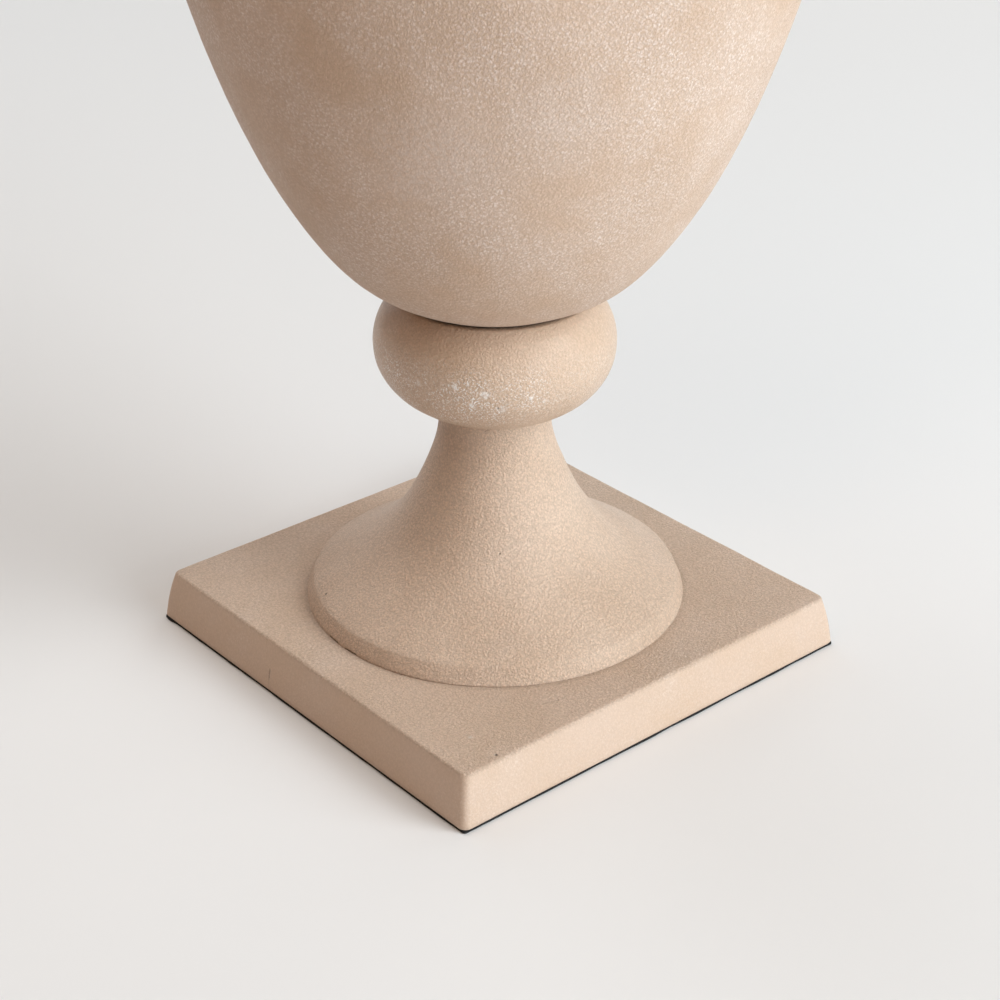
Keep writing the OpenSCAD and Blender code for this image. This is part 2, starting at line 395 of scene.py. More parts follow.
class Graph:
    """Short ways to add and link the nodes of one shader tree."""

    def __init__(self, tree: bpy.types.NodeTree) -> None:
        """Keeps the tree that the nodes go into.

        Args:
            tree: A material's or a group's node tree.
        """
        self.tree = tree
        self.source: bpy.types.Node | None = None
        self.sink: bpy.types.Node | None = None

    def add(self, kind: str, inputs: dict[str | int, object] | None = None, **settings: object
            ) -> bpy.types.Node:
        """Adds a node.

        Args:
            kind: The node's type.
            inputs: For each input's name or number, a plain value or an output to link.
            settings: The node's own settings.

        Returns:
            The node.
        """
        node = self.tree.nodes.new(kind)
        for name, value in settings.items():
            setattr(node, name, value)
        for key, value in (inputs or {}).items():
            if isinstance(value, bpy.types.NodeSocket):
                self.tree.links.new(value, node.inputs[key])
            else:
                node.inputs[key].default_value = value
        return node

    def math(self, operation: str, a: object, b: object = 0.0, clamp: bool = False) -> bpy.types.NodeSocket:
        """Adds a Math node and gives its output."""
        return self.add("ShaderNodeMath", {0: a, 1: b}, operation=operation, use_clamp=clamp).outputs[0]

    def vector_math(self, operation: str, a: object, b: object) -> bpy.types.Node:
        """Adds a Vector Math node."""
        return self.add("ShaderNodeVectorMath", {0: a, 1: b}, operation=operation)

    def scaled(self, vector: bpy.types.NodeSocket, factor: object) -> bpy.types.NodeSocket:
        """A vector times a factor."""
        return self.add("ShaderNodeVectorMath", {0: vector, "Scale": factor}, operation="SCALE").outputs[0]

    def in_spans(self, place: bpy.types.NodeSocket, span: object) -> bpy.types.NodeSocket:
        """A place, measured in spans."""
        return self.scaled(place, self.math("DIVIDE", 1.0, span))

    def lifted(self, value: object, least: float) -> bpy.types.NodeSocket:
        """A value from 0 to 1, drawn up so that it is never below least."""
        return self.math("ADD", self.math("MULTIPLY", value, 1 - least), least)

    def rise(self, value: object, low: object, high: object, to_low: float = 0.0, to_high: float = 1.0
             ) -> bpy.types.NodeSocket:
        """A smooth rise of a value from low to high, kept between to_low and to_high."""
        inputs = {"Value": value, "From Min": low, "From Max": high, "To Min": to_low, "To Max": to_high}
        return self.add("ShaderNodeMapRange", inputs, interpolation_type="SMOOTHSTEP").outputs["Result"]

    def noise(self, place: object, scale: object, detail: float = 2.0, rough: float = 0.5) -> bpy.types.Node:
        """Adds a Noise Texture."""
        inputs = {"Vector": place, "Scale": scale, "Detail": detail, "Roughness": rough}
        return self.add("ShaderNodeTexNoise", inputs)

    def place(self) -> bpy.types.NodeSocket:
        """The place on the piece, in millimetres."""
        return self.scaled(self.add("ShaderNodeTexCoord").outputs["Object"], 1 / MM)

    def use(self, group: bpy.types.NodeTree, inputs: dict[str, object]) -> bpy.types.Node:
        """Adds a shared node group."""
        return self.add("ShaderNodeGroup", inputs, node_tree=group)

    def ragged(self, away: bpy.types.NodeSocket, reach: object, full: float, rough: bpy.types.Node
               ) -> bpy.types.NodeSocket:
        """A mask that falls from 1, at a share of reach, to 0, at half as much again, with a rough edge.

        Args:
            away: How far away the place is.
            reach: How far the mask reaches.
            full: The share of reach up to which it is 1.
            rough: The Noise Texture that breaks up its edge.

        Returns:
            The mask.
        """
        pushed = self.math("ADD", away, self.math("MULTIPLY", rough.outputs["Fac"], reach))
        low, high = self.math("MULTIPLY", reach, full), self.math("MULTIPLY", reach, 1.5)
        return self.rise(pushed, low, high, 1.0, 0.0)

    def height_of(self, place: bpy.types.NodeSocket) -> bpy.types.NodeSocket:
        """A place's height."""
        return self.add("ShaderNodeSeparateXYZ", {0: place}).outputs[2]

    def feed(self, shader: bpy.types.Node, **values: bpy.types.NodeSocket) -> None:
        """Links values to a shader's inputs, which are named with _ for each space."""
        for name, value in values.items():
            self.tree.links.new(value, shader.inputs[name.replace("_", " ")])

    def bump(self, shader: bpy.types.Node, height: bpy.types.NodeSocket, distance: float) -> None:
        """Raises a shader's surface by a height, in which 1 stands for a distance in metres."""
        bump = self.add("ShaderNodeBump", {"Height": height, "Distance": distance, "Strength": 1.0})
        self.feed(shader, Normal=bump.outputs[0])

    def emit(self, name: str, value: bpy.types.NodeSocket) -> None:
        """Links a value to one of the group's outputs."""
        self.tree.links.new(value, self.sink.inputs[name])

    def mix(self, factor: object, a: object, b: object, blend: str = "MIX") -> bpy.types.NodeSocket:
        """Mixes two colours and gives the result."""
        node = self.add("ShaderNodeMix", {0: factor, 6: a, 7: b}, data_type="RGBA", blend_type=blend)
        return node.outputs[2]


def new_group(name: str, inputs: dict[str, float | str], outputs: Sequence[str]) -> Graph:
    """Makes a node group with its sockets.

    Args:
        name: The group's name.
        inputs: Each input's name, with its default value, or "vector" for a vector.
        outputs: The names of its value outputs.

    Returns:
        A graph on the group, with one Group Input and one Group Output node.
    """
    tree = bpy.data.node_groups.new(name, "ShaderNodeTree")
    for label, value in inputs.items():
        kind = "NodeSocketVector" if value == "vector" else "NodeSocketFloat"
        socket = tree.interface.new_socket(label, in_out="INPUT", socket_type=kind)
        if kind == "NodeSocketFloat":
            socket.default_value = value
    for label in outputs:
        tree.interface.new_socket(label, in_out="OUTPUT", socket_type="NodeSocketFloat")
    graph = Graph(tree)
    graph.source = graph.add("NodeGroupInput")
    graph.sink = graph.add("NodeGroupOutput")
    return graph


def sand_grain_group() -> bpy.types.NodeTree:
    """Ragged grains of sand under paint: Height from 0 to 1, and Tops, which is 1 on the grains' tops."""
    g = new_group("sand_grain", {"Place": "vector", "Spacing": 1.7}, ["Height", "Tops"])
    place = g.in_spans(g.source.outputs["Place"], g.source.outputs["Spacing"])
    sway = g.noise(place, 0.7, 1.0).outputs["Color"]
    bent = g.vector_math("ADD", place, g.scaled(sway, 0.8)).outputs[0]
    cells = g.add("ShaderNodeTexVoronoi", {"Vector": bent, "Scale": 1.0, "Smoothness": 0.25},
                  feature="SMOOTH_F1").outputs["Distance"]
    rounded = g.rise(cells, 0.1, 0.75, 1.0, 0.0)
    ridges = g.rise(g.noise(place, 1.8, 4.0, 0.68).outputs["Fac"], 0.24, 0.76)
    height = g.math("ADD", g.math("MULTIPLY", rounded, 0.42), g.math("MULTIPLY", ridges, 0.58))
    g.emit("Height", height)
    g.emit("Tops", g.rise(height, 0.42, 0.72))
    return g.tree


def limewash_group() -> bpy.types.NodeTree:
    """Pale powder rubbed over a coat: Mask is 1 where it lies, in cloudy patches with a fine grain."""
    g = new_group("limewash", {"Place": "vector", "Span": 30.0, "Cover": 0.4, "Tops": 1.0}, ["Mask"])
    source = g.source.outputs
    near = g.in_spans(source["Place"], source["Span"])
    cloud = g.noise(near, 1.0, 6.0, 0.62).outputs["Fac"]
    middle = g.math("SUBTRACT", 0.72, g.math("MULTIPLY", source["Cover"], 0.44))
    patch = g.rise(cloud, g.math("SUBTRACT", middle, 0.14), g.math("ADD", middle, 0.14))
    speck = g.rise(g.noise(source["Place"], 1.1, 3.0, 0.65).outputs["Fac"], 0.4, 0.6)
    broken = g.math("MULTIPLY", g.lifted(speck, 0.25), g.lifted(source["Tops"], 0.35))
    g.emit("Mask", g.math("MULTIPLY", patch, broken, clamp=True))
    return g.tree


def cast_pits_group() -> bpy.types.NodeTree:
    """The few gas pits of a casting: Mask is 1 in a pit. Share is the part of the cells that hold one."""
    g = new_group("cast_pits", {"Place": "vector", "Cell": 16.0, "Radius": 0.5, "Share": 0.3}, ["Mask"])
    source = g.source.outputs
    near = g.in_spans(source["Place"], source["Cell"])
    cells = g.add("ShaderNodeTexVoronoi", {"Vector": near, "Scale": 1.0}, feature="F1")
    reach = g.math("MULTIPLY", cells.outputs["Distance"], source["Cell"])
    ragged = g.math("ADD", reach, g.math("MULTIPLY", g.noise(source["Place"], 1.6, 2.0).outputs["Fac"], 0.35))
    inner = g.math("MULTIPLY", source["Radius"], 0.7)
    hole = g.rise(ragged, inner, g.math("ADD", source["Radius"], 0.3), 1.0, 0.0)
    chance = g.add("ShaderNodeSeparateColor", {0: cells.outputs["Color"]}).outputs[0]
    g.emit("Mask", g.math("MULTIPLY", hole, g.math("LESS_THAN", chance, source["Share"])))
    return g.tree


def tone_drift_group() -> bpy.types.NodeTree:
    """The slow drift of a hand-sprayed coat: Drift from 0 to 1 over tens of millimetres."""
    g = new_group("tone_drift", {"Place": "vector", "Span": 40.0}, ["Drift"])
    near = g.in_spans(g.source.outputs["Place"], g.source.outputs["Span"])
    g.emit("Drift", g.rise(g.noise(near, 1.0, 4.0, 0.55).outputs["Fac"], 0.32, 0.68))
    return g.tree


def ragged_spot_group() -> bpy.types.NodeTree:
    """One spot with a ragged edge: Mask is 1 at Centre and 0 a little beyond Reach."""
    g = new_group("ragged_spot", {"Place": "vector", "Centre": "vector", "Reach": 1.0}, ["Mask"])
    source = g.source.outputs
    away = g.vector_math("DISTANCE", source["Place"], source["Centre"]).outputs["Value"]
    rough = g.noise(source["Place"], g.math("DIVIDE", 1.7, source["Reach"]), 4.0, 0.7).outputs["Fac"]
    lift = g.math("MULTIPLY", g.math("SUBTRACT", rough, 0.5), g.math("MULTIPLY", source["Reach"], 1.6))
    low, high = g.math("MULTIPLY", source["Reach"], 0.3), g.math("MULTIPLY", source["Reach"], 1.05)
    g.emit("Mask", g.rise(g.math("ADD", away, lift), low, high, 1.0, 0.0))
    return g.tree


def scratch_line_group() -> bpy.types.NodeTree:
    """A short groove: Mask is 1 along the line from Start to End."""
    sockets = {"Place": "vector", "Start": "vector", "End": "vector", "Width": 0.5}
    g = new_group("scratch_line", sockets, ["Mask"])
    source = g.source.outputs
    run = g.vector_math("SUBTRACT", source["End"], source["Start"]).outputs[0]
    gone = g.vector_math("SUBTRACT", source["Place"], source["Start"]).outputs[0]
    along = g.vector_math("DOT_PRODUCT", gone, run).outputs["Value"]
    share = g.math("DIVIDE", along, g.vector_math("DOT_PRODUCT", run, run).outputs["Value"], clamp=True)
    nearest = g.vector_math("ADD", source["Start"], g.scaled(run, share)).outputs[0]
    away = g.vector_math("DISTANCE", source["Place"], nearest).outputs["Value"]
    g.emit("Mask", g.ragged(away, source["Width"], 0.5, g.noise(source["Place"], 1.3, 2.0)))
    return g.tree


def crevice_shade_group() -> bpy.types.NodeTree:
    """Painted shade in a seam that runs round the axis, where two parts meet: Mask is 1 at Radius and Height
    and 0 from Reach on.
    """
    g = new_group("crevice_shade", {"Place": "vector", "Radius": 30.0, "Height": 0.0, "Reach": 1.0}, ["Mask"])
    source = g.source.outputs
    parts = g.add("ShaderNodeSeparateXYZ", {0: source["Place"]}).outputs
    across = g.math("SQRT", g.math("ADD", g.math("MULTIPLY", parts[0], parts[0]),
                                   g.math("MULTIPLY", parts[1], parts[1])))
    out, up = g.math("SUBTRACT", across, source["Radius"]), g.math("SUBTRACT", parts[2], source["Height"])
    away = g.math("SQRT", g.math("ADD", g.math("MULTIPLY", out, out), g.math("MULTIPLY", up, up)))
    g.emit("Mask", g.ragged(away, source["Reach"], 0.3, g.noise(source["Place"], 0.5, 3.0, 0.6)))
    return g.tree


class Effects:
    """The shared node groups, each built once."""

    def __init__(self) -> None:
        """Builds every group."""
        self.grain = sand_grain_group()
        self.wash = limewash_group()
        self.pits = cast_pits_group()
        self.drift = tone_drift_group()
        self.spot = ragged_spot_group()
        self.scratch = scratch_line_group()
        self.seam = crevice_shade_group()


def around_axis(azimuth_deg: float, radius: float, height: float) -> tuple[float, float, float]:
    """A place given by its direction round the axis, its distance from the axis and its height."""
    turn = math.radians(azimuth_deg)
    return (radius * math.cos(turn), radius * math.sin(turn), height)


@dataclass(frozen=True)
class Spot:
    """A spot of limewash, or a gas pit, in millimetres."""

    centre: tuple[float, float, float]
    reach: float
    weight: float = 1.0

    def mask(self, g: Graph, place: bpy.types.NodeSocket, effects: Effects) -> bpy.types.NodeSocket:
        """Where the spot lies."""
        found = g.use(effects.spot, {"Place": place, "Centre": self.centre, "Reach": self.reach})
        return found.outputs["Mask"]


def spot_at(azimuth_deg: float, radius: float, height: float, reach: float, weight: float = 1.0) -> Spot:
    """A spot whose centre is given round the axis."""
    return Spot(around_axis(azimuth_deg, radius, height), reach, weight)


@dataclass(frozen=True)
class Scratch:
    """A short groove, in millimetres."""

    start: tuple[float, float, float]
    end: tuple[float, float, float]
    width: float
    depth: float = 1.0


@dataclass(frozen=True)
class ShadedSeam:
    """A seam where two parts meet, darkened with painted shade, in millimetres."""

    radius: float
    height: float
    reach: float
    weight: float


@dataclass(frozen=True)
class SandCoat:
    """A matte sand-textured coat on a casting, with limewash rubbed over it.

    Attributes:
        name: The material's name.
        base: The coat's colour.
        warm: The colour that it drifts to.
        wash: The limewash's colour.
        grain: How far apart the grains are, in millimetres.
        relief: How high the grains are.
        calm_share: How much of the grains' height is left on the faces below calm_height.
        calm_height: The height, in millimetres, below which the grains are lower.
        cover: How much of the surface the limewash lies on, from 0 to 1.
        wash_span: How large its patches are, in millimetres.
        wash_weight: How dense it is.
        valley_shade: How much painted shade darkens the coat between the grains, and painted light lightens
            their tops.
        pit_share: How many of the casting's cells hold a gas pit.
        roughness: How matte the coat is.
        gloss: How strongly it mirrors.
        lacquer: How much of a smooth, clear layer lies over it, from 0 to 1.
        lacquer_roughness: How matte that layer is.
        spots: Where the limewash lies thick.
        spatter: The height, half width and weight of a belt of small specks, in millimetres.
        spatter_side: The direction, in degrees, in which the specks are thickest.
        pits: Single gas pits, pressed in and darkened with painted shade.
        scratches: Single grooves, pressed in and darkened with painted shade.
        shaded_seams: Seams where two parts meet, darkened with painted shade.
    """

    name: str
    base: Colour = (0.58, 0.43, 0.325)
    warm: Colour = (0.57, 0.41, 0.295)
    wash: Colour = (0.68, 0.59, 0.53)
    grain: float = 1.25
    relief: float = 0.25 * MM
    calm_share: float = 1.0
    calm_height: float = 0.0
    cover: float = 0.35
    wash_span: float = 26.0
    wash_weight: float = 0.5
    valley_shade: float = 0.16
    pit_share: float = 0.1
    roughness: float = 0.55
    gloss: float = 0.5
    lacquer: float = 0.0
    lacquer_roughness: float = 0.24
    spots: tuple[Spot, ...] = ()
    spatter: tuple[float, float, float] = (0.0, 1.0, 0.0)
    spatter_side: float = -165.0
    pits: tuple[Spot, ...] = ()
    scratches: tuple[Scratch, ...] = ()
    shaded_seams: tuple[ShadedSeam, ...] = ()

    def wash_mask(self, g: Graph, place: bpy.types.NodeSocket, tops: bpy.types.NodeSocket,
                  effects: Effects) -> bpy.types.NodeSocket:
        """Where the limewash lies.

        Args:
            g: The material's graph.
            place: The place on the piece, in millimetres.
            tops: 1 on the grains' tops.
            effects: The shared node groups.

        Returns:
            The mask.
        """
        inputs = {"Place": place, "Tops": tops, "Span": self.wash_span, "Cover": self.cover}
        mask = g.math("MULTIPLY", g.use(effects.wash, inputs).outputs["Mask"], self.wash_weight)
        speck = g.rise(g.noise(place, 0.9, 4.0, 0.7).outputs["Fac"], 0.40, 0.60)
        for spot in self.spots:
            lies = g.math("MULTIPLY", g.lifted(speck, 0.25), spot.weight)
            mask = g.math("MAXIMUM", mask, g.math("MULTIPLY", spot.mask(g, place, effects), lies))
        height, half, weight = self.spatter
        if weight > 0:
            away = g.math("ABSOLUTE", g.math("SUBTRACT", g.height_of(place), height))
            belt = g.rise(away, 0.3 * half, half, weight, 0.0)
            cloud = g.rise(g.noise(place, 0.12, 3.0, 0.6).outputs["Fac"], 0.35, 0.6, 0.5, 1.0)
            side = g.vector_math("DOT_PRODUCT", place, around_axis(self.spatter_side, 1.0, 0.0))
            cloud = g.math("MULTIPLY", cloud, g.rise(side.outputs["Value"], 10.0, 35.0, 0.3, 1.0))
            drops = g.rise(g.noise(place, 1.9, 2.0, 0.5).outputs["Fac"], 0.54, 0.61)
            drops = g.math("MULTIPLY", g.math("MULTIPLY", drops, belt), cloud)
            mask = g.math("MAXIMUM", mask, drops)
        return mask

    def damage(self, g: Graph, place: bpy.types.NodeSocket, effects: Effects) -> bpy.types.NodeSocket:
        """How deep the pits and grooves are, where 1 is a full pit.

        Args:
            g: The material's graph.
            place: The place on the piece, in millimetres.
            effects: The shared node groups.

        Returns:
            The depth.
        """
        deep = g.use(effects.pits, {"Place": place, "Share": self.pit_share}).outputs["Mask"]
        for pit in self.pits:
            deep = g.math("MAXIMUM", deep, g.math("MULTIPLY", pit.mask(g, place, effects), pit.weight))
        for scratch in self.scratches:
            inputs = {"Place": place, "Start": scratch.start, "End": scratch.end, "Width": scratch.width}
            found = g.use(effects.scratch, inputs)
            deep = g.math("MAXIMUM", deep, g.math("MULTIPLY", found.outputs["Mask"], scratch.depth))
        return deep

    def material(self, effects: Effects) -> bpy.types.Material:
        """Makes the material.

        Args:
            effects: The shared node groups.

        Returns:
            The material.
        """
        made, g, shader = new_material(self.name)
        place = g.place()
        grain = g.use(effects.grain, {"Place": place, "Spacing": self.grain})
        drift = g.use(effects.drift, {"Place": place}).outputs["Drift"]
        deep = self.damage(g, place, effects)
        coat = g.mix(drift, (*self.base, 1), (*self.warm, 1))
        coat = g.mix(self.wash_mask(g, place, grain.outputs["Tops"], effects), coat, (*self.wash, 1))
        calm = g.rise(g.height_of(place), self.calm_height - 1.0, self.calm_height, self.calm_share, 1.0)
        # Painted light and shade on the grains: the colour is lighter on their tops and darker in the valleys
        # between them.
        above = g.math("MULTIPLY", g.math("SUBTRACT", grain.outputs["Height"], 0.5), calm)
        shade = g.math("ADD", 1.0, g.math("MULTIPLY", above, self.valley_shade))
        # Painted shade: pits and grooves are darkened in the colour as well as pressed in by the bump.
        shade = g.math("MULTIPLY", shade, g.math("SUBTRACT", 1.0, g.math("MULTIPLY", deep, 0.7)))
        # Painted shade: each seam where two parts meet is darkened in the colour.
        for seam in self.shaded_seams:
            inputs = {"Place": place, "Radius": seam.radius, "Height": seam.height, "Reach": seam.reach}
            seam_shade = g.math("MULTIPLY", g.use(effects.seam, inputs).outputs["Mask"], seam.weight)
            shade = g.math("MULTIPLY", shade, g.math("SUBTRACT", 1.0, seam_shade))
        # The painted shade of the grains, pits, grooves and seams, as a grey that darkens the coat.
        shade_colour = g.add("ShaderNodeCombineColor", {0: shade, 1: shade, 2: shade}).outputs[0]
        sheen = g.rise(grain.outputs["Height"], 0.2, 0.9, self.roughness + 0.06, self.roughness - 0.06)
        g.feed(shader, Base_Color=g.mix(1.0, coat, shade_colour, "MULTIPLY"), Roughness=sheen)
        shader.inputs["Specular IOR Level"].default_value = self.gloss
        shader.inputs["Coat Weight"].default_value = self.lacquer
        shader.inputs["Coat Roughness"].default_value = self.lacquer_roughness
        strong = g.math("MULTIPLY", g.math("ADD", g.math("MULTIPLY", drift, 0.4), 0.8), calm)
        relief = g.math("MULTIPLY", grain.outputs["Height"], strong)
        g.bump(shader, g.math("SUBTRACT", relief, g.math("MULTIPLY", deep, 2.0)), self.relief)
        return made


def new_material(name: str) -> tuple[bpy.types.Material, Graph, bpy.types.Node]:
    """Makes a material and gives it, its graph and its shader."""
    made = bpy.data.materials.new(name)
    made.use_nodes = True
    return made, Graph(made.node_tree), made.node_tree.nodes["Principled BSDF"]


@dataclass(frozen=True)
class Plain:
    """A finish without limewash: plated steel, rubber or foam.

    Attributes:
        name: The material's name.
        dark: Its darker colour.
        light: Its lighter colour.
        roughness: How matte it is.
        grain: How far apart the bumps of its surface are, in millimetres.
        relief: How high they are.
        metal: Whether it is metal.
    """

    name: str
    dark: Colour
    light: Colour
    roughness: float
    grain: float
    relief: float
    metal: bool = False

    def material(self, effects: Effects) -> bpy.types.Material:
        """Makes the material.

        Args:
            effects: The shared node groups.

        Returns:
            The material.
        """
        made, g, shader = new_material(self.name)
        place = g.place()
        grain = g.use(effects.grain, {"Place": place, "Spacing": self.grain}).outputs["Height"]
        drift = g.use(effects.drift, {"Place": place, "Span": 9.0}).outputs["Drift"]
        tone = g.math("MULTIPLY", g.math("ADD", grain, drift), 0.5)
        rough = g.rise(tone, 0.1, 0.9, self.roughness - 0.07, self.roughness + 0.07)
        g.feed(shader, Base_Color=g.mix(tone, (*self.dark, 1), (*self.light, 1)), Roughness=rough)
        shader.inputs["Metallic"].default_value = float(self.metal)
        g.bump(shader, grain, self.relief)
        return made


# ---------------------------------------------------------------------------------------------------------
# The castings
# ---------------------------------------------------------------------------------------------------------


@dataclass
class Levels:
    """The heights at which the castings meet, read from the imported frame."""

    pad_top: float = field(default_factory=lambda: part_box("base_pad")[1].z)
    foot_low: float = field(default_factory=lambda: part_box("foot")[0].z)
    foot_high: float = field(default_factory=lambda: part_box("foot")[1].z)
    seat: float = field(default_factory=lambda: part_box("knob")[1].z)
    mouth: float = field(default_factory=lambda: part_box("body")[1].z)
    top: float = field(default_factory=lambda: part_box("neck")[1].z)


def square_ring(half: float, corner: float, height: float, per_side: int = 96, per_corner: int = 8
                ) -> np.ndarray:
    """One level of a square slab with rounded corners.

    Args:
        half: Half the side at that level.
        corner: The corners' radius.
        height: The level's height.
        per_side: How many points each straight side has.
        per_corner: How many points each corner has.

    Returns:
        The ring's points, anticlockwise from the +X side's lower corner.
    """
    flat = half - corner
    points = []
    bend = np.linspace(0, math.pi / 2, per_corner + 2)[1:-1]
    for quarter in range(4):
        run = [(half, y) for y in np.linspace(-flat, flat, per_side)]
        run += [(flat + corner * math.cos(a), flat + corner * math.sin(a)) for a in bend]
        c, s = math.cos(quarter * math.pi / 2), math.sin(quarter * math.pi / 2)
        points += [(x * c - y * s, x * s + y * c, height) for x, y in run]
    return np.array(points)


@dataclass
class Plinth:
    """The square slab under the foot, with sides that lean in and bulge a little."""

    levels: Levels
    side: float = field(default_factory=lambda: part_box("plinth")[1].x * 2)
    top_side: float = 154 * MM
    corner: float = 2.5 * MM
    edge: float = 1.1 * MM
    bulge: float = 0.35 * MM
    hole: float = 30 * MM

    def levels_of_side(self) -> list[tuple[float, float, float]]:
        """The slab's levels, as (half side, corner radius, height), from below to the rim of its top."""
        low, high = self.levels.pad_top, self.levels.foot_low
        half, top = self.side / 2, self.top_side / 2 + 0.25 * MM
        found = [(half - 0.8 * MM, self.corner, low), (half - 0.25 * MM, self.corner, low + 0.15 * MM)]
        rise = high - self.edge - low - 0.55 * MM
        for t in np.linspace(0, 1, 12):
            lean = half + (top - half) * t + self.bulge * 4 * t * (1 - t)
            found.append((lean, self.corner, low + 0.55 * MM + rise * t))
        for angle in np.radians(np.linspace(15, 90, 7)):
            reach = self.edge * (1 - math.cos(angle))
            found.append((top - reach, self.corner, high - self.edge + self.edge * math.sin(angle)))
        return found

    def build(self, skin: CastSkin) -> bpy.types.Object:
        """Builds the slab.

        Args:
            skin: The casting's unevenness.

        Returns:
            The piece.
        """
        rings = [square_ring(*level) for level in self.levels_of_side()]
        high = self.levels.foot_low
        rim = self.top_side / 2 + 0.25 * MM - self.edge
        for half in np.linspace(rim, self.hole, 34)[1:]:
            rings.append(square_ring(half, min(self.corner, half / 2), high))
        for half in np.linspace(self.hole, self.side / 2 - 2 * MM, 14):
            rings.append(square_ring(half, min(self.corner, half / 2), self.levels.pad_top))
        vertices = np.concatenate(rings)
        faces = woven(len(rings), len(rings[0]), closed=True)
        free = fade(vertices[:, 2], self.levels.pad_top + 0.4 * MM, self.levels.pad_top + 3 * MM)
        return mesh_piece("plinth_casting", skin.pressed(vertices, faces, free), faces)


@dataclass
class Pad:
    """The soft pad under the plinth, cut out by hand."""

    levels: Levels
    half: float = field(default_factory=lambda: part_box("plinth")[1].x - 0.2 * MM)
    corner: float = 1 * MM
    waver: float = 0.22 * MM
    lump: tuple[float, float, float] = (76 * MM, 2.2 * MM, 0.4 * MM)

    def build(self) -> bpy.types.Object:
        """Builds the pad.

        Returns:
            The piece.
        """
        high = self.levels.pad_top
        insets = [(self.half - 2 * MM, 0.0), (0.3 * MM, 0.0), (0.0, 0.25 * high), (0.0, 0.75 * high),
                  (0.25 * MM, high), (self.half - 2 * MM, high)]
        rings = [square_ring(self.half - inset, self.corner, z, 120) for inset, z in insets]
        vertices = np.concatenate(rings)
        where, width, out = self.lump
        for vertex in vertices:
            edge = float(fade(max(abs(vertex[0]), abs(vertex[1])), self.half - 3 * MM, self.half - 1 * MM))
            sway = noise.noise(Vector((vertex[0], vertex[1], 0)) / (7 * MM)) * self.waver
            push = out * math.exp(-((vertex[1] - where) / width) ** 2) if vertex[0] < 0 else 0.0
            vertex[:2] *= 1 + edge * (sway - 0.4 * self.waver + push) / self.half
        return mesh_piece("foam_pad", vertices, capped(len(rings), len(rings[0])))


@dataclass
class Foot:
    """The trumpet foot with a narrow band round its edge."""

    levels: Levels
    radius: float = field(default_factory=lambda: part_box("foot")[1].x)
    edge_radius: float = 60 * MM
    band: float = 5.6 * MM
    stem: float = 17.9 * MM
    core: float = 19.2 * MM
    bore: float = 11.1 * MM
    turns: int = 300

    def outline(self) -> np.ndarray:
        """The foot's section, with its edges softened."""
        low, high = self.levels.foot_low, self.levels.foot_high
        waist = (24 * MM, low + 42 * MM)
        edge, stem = (self.edge_radius, low + self.band), (self.stem, high)
        line = Outline((self.core, low)).line((self.radius, low), edge)
        line.curve((edge[0] - 18 * MM, edge[1] + 11.4 * MM), (waist[0] + 9 * MM, waist[1] - 20.6 * MM), waist)
        line.curve((waist[0] - 6.8 * MM, waist[1] + 15.4 * MM), (stem[0], stem[1] - 6.5 * MM), stem)
        line.line((self.bore, high), (self.bore, low + 54 * MM), (self.core, low + 9 * MM))
        return line.softened(0.8 * MM, 1.1 * MM)

    def build(self, skin: CastSkin) -> bpy.types.Object:
        """Builds the foot.

        Args:
            skin: The casting's unevenness.

        Returns:
            The piece.
        """
        low, high = self.levels.foot_low, self.levels.foot_high
        bottom, top = (low + 0.1 * MM, low + 1.5 * MM), (high - 1.5 * MM, high)
        return turned_casting("foot_casting", self.outline(), self.turns, skin, bottom, top)


@dataclass
class Knob:
    """The collar between foot and vessel, with a rounded section cut flat at both ends."""

    levels: Levels
    radius: float = field(default_factory=lambda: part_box("knob")[1].x)
    core: float = 8.4 * MM
    middle: float = 22 * MM
    half_height: float = 23 * MM
    power: float = 2.1
    bore: float = 12.1 * MM
    turns: int = 280

    def radius_at(self, height: float) -> float:
        """The knob's radius at a height above its lower face."""
        share = 1 - (abs(height - self.middle) / self.half_height) ** self.power
        return self.core + (self.radius - self.core) * share ** (1 / self.power)

    def outline(self) -> np.ndarray:
        """The knob's section, with its edges softened."""
        low, high = self.levels.foot_high, self.levels.seat
        line = Outline((self.bore, low))
        tall = high - low
        for t in np.linspace(0, math.pi, 80):
            height = tall * (1 - math.cos(t)) / 2
            line.line((self.radius_at(height), low + height))
        line.line((self.bore, high))
        return line.softened(0.7 * MM, 0.9 * MM)

    def build(self, skin: CastSkin) -> bpy.types.Object:
        """Builds the knob.

        Args:
            skin: The casting's unevenness.

        Returns:
            The piece.
        """
        low, high = self.levels.foot_high, self.levels.seat
        bottom, top = (low, low + 2 * MM), (high - 2 * MM, high)
        return turned_casting("knob_casting", self.outline(), self.turns, skin, bottom, top)


